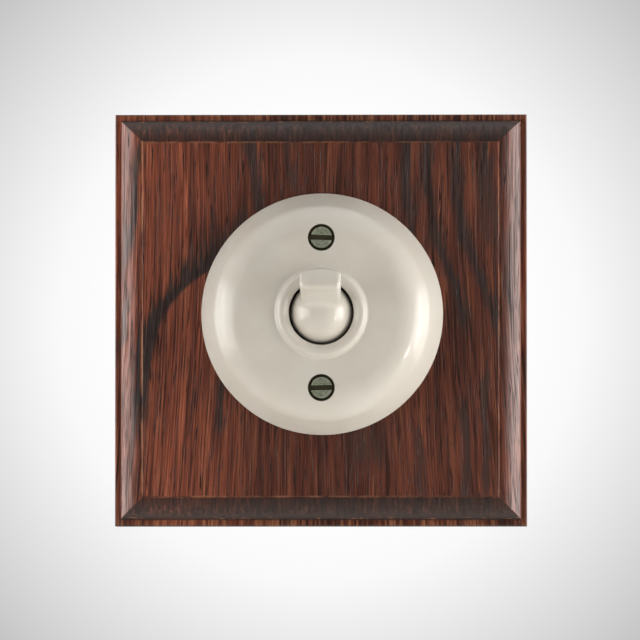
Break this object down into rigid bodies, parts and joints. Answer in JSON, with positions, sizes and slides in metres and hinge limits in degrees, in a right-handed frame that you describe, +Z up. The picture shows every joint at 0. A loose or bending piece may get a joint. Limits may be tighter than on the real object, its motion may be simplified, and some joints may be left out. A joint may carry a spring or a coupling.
{
  "type": "bakelite toggle switch",
  "caption": "Round ivory bakelite toggle switch with a ball-and-paddle lever on a square dark oak wall plate with a moulded edge; it rocks a contact between terminals at the back.",
  "frame": {"origin": "centre of the plate's back, in the wall's plane", "axes": "+Z up, -Y out of the wall towards the viewer, +X to the viewer's right"},
  "size_m": [0.094, 0.0468, 0.094],
  "materials": {
    "oak": "dark stained, semi-gloss polish",
    "ivory_bakelite": "polished moulding",
    "brown_bakelite": "moulded",
    "bronzed_screw": "turned, dull bronze grey",
    "zinc_plated_steel": "zinc plated",
    "ground_steel": "ground",
    "fibre": "vulcanised fibre",
    "plunger_nylon": "natural nylon",
    "brass": "machined",
    "contact_strip": "rolled",
    "silver": "bright silver",
    "plated_screw": "nickel plated"
  },
  "bodies": {
    "switch": {"wood_plate": "oak", "cover": "ivory_bakelite", "switch_base": "brown_bakelite", "cover_screw_upper": "bronzed_screw", "cover_screw_lower": "bronzed_screw", "mounting_plate": "zinc_plated_steel", "pivot_frame": "zinc_plated_steel", "base_screw_left": "zinc_plated_steel", "base_screw_right": "zinc_plated_steel", "pivot_frame_screw_left": "zinc_plated_steel", "pivot_frame_screw_right": "zinc_plated_steel", "dolly_pin": "ground_steel", "rocker_pin": "ground_steel", "dolly_washer_left": "fibre", "dolly_washer_right": "fibre", "cover_insert_upper": "brass", "cover_insert_lower": "brass", "fulcrum_bracket": "brass", "contact_arm_upper": "brass", "contact_arm_lower": "brass", "terminal_common": "brass", "terminal_upper": "brass", "terminal_lower": "brass", "earth_terminal": "brass", "fixed_contact_upper": "silver", "fixed_contact_lower": "silver", "terminal_screw_common": "plated_screw", "terminal_screw_upper": "plated_screw", "terminal_screw_lower": "plated_screw", "earth_screw": "plated_screw"},
    "dolly": {"dolly": "ivory_bakelite", "dolly_spring": "ground_steel"},
    "plunger": {"dolly_plunger": "plunger_nylon"},
    "rocker": {"rocker": "contact_strip", "rocker_contact_upper": "silver", "rocker_contact_lower": "silver"}
  },
  "joints": [
    {"name": "dolly_throw", "type": "hinge", "parent": "switch", "child": "dolly", "pos_m": [0.0004, -0.02204, 0.0011], "axis": [1, 0, 0], "range_deg": [0, 53.4]},
    {"name": "rocker_tilt", "type": "hinge", "parent": "switch", "child": "rocker", "pos_m": [0.0004, -0.00794, 0.0011], "axis": [1, 0, 0], "range_deg": [-14, 0]},
    {"name": "plunger_slide", "type": "slide", "parent": "dolly", "child": "plunger", "axis": [0, 0.8934, -0.4493], "range_m": [0, 0.0007], "stiffness_N_per_m": 200, "springref_m": 0.003, "deforming": ["dolly_spring"]}
  ],
  "couplings": [
    {"joint": "rocker_tilt", "follows": "dolly_throw", "ratio": -0.26217}
  ]
}
